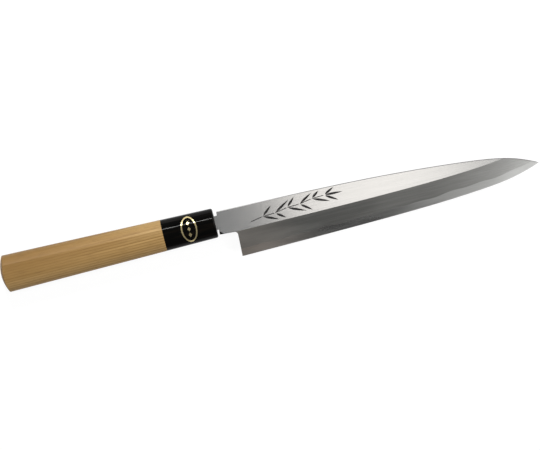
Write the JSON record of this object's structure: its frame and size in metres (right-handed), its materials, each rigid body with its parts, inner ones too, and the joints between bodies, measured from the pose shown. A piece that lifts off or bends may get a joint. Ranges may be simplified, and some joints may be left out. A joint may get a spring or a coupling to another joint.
{
  "type": "yanagiba knife",
  "caption": "Single-bevel Japanese slicing knife with a laminated blade, a horn ferrule and a domed wooden handle of chestnut section.",
  "frame": {"origin": "centre of the bounding box's lowest face, with the knife lying on its back side", "axes": "+X along the handle towards the tip, +Y from the edge towards the spine, +Z out of the bevelled side"},
  "size_m": [0.3543, 0.0372, 0.0198],
  "materials": {
    "soft_iron": "ground, satin",
    "hard_steel": "ground, bright satin",
    "magnolia_wood": "sanded, unvarnished",
    "black_horn": "polished black horn",
    "gold_foil": "gold leaf",
    "dark_resin": "resin"
  },
  "bodies": {
    "root": {"soft_iron_body": "soft_iron", "hard_steel_layer": "hard_steel", "wood_handle": "magnolia_wood", "ferrule": "black_horn", "ferrule_mark": "gold_foil", "tang_seal": "dark_resin"}
  },
  "joints": []
}
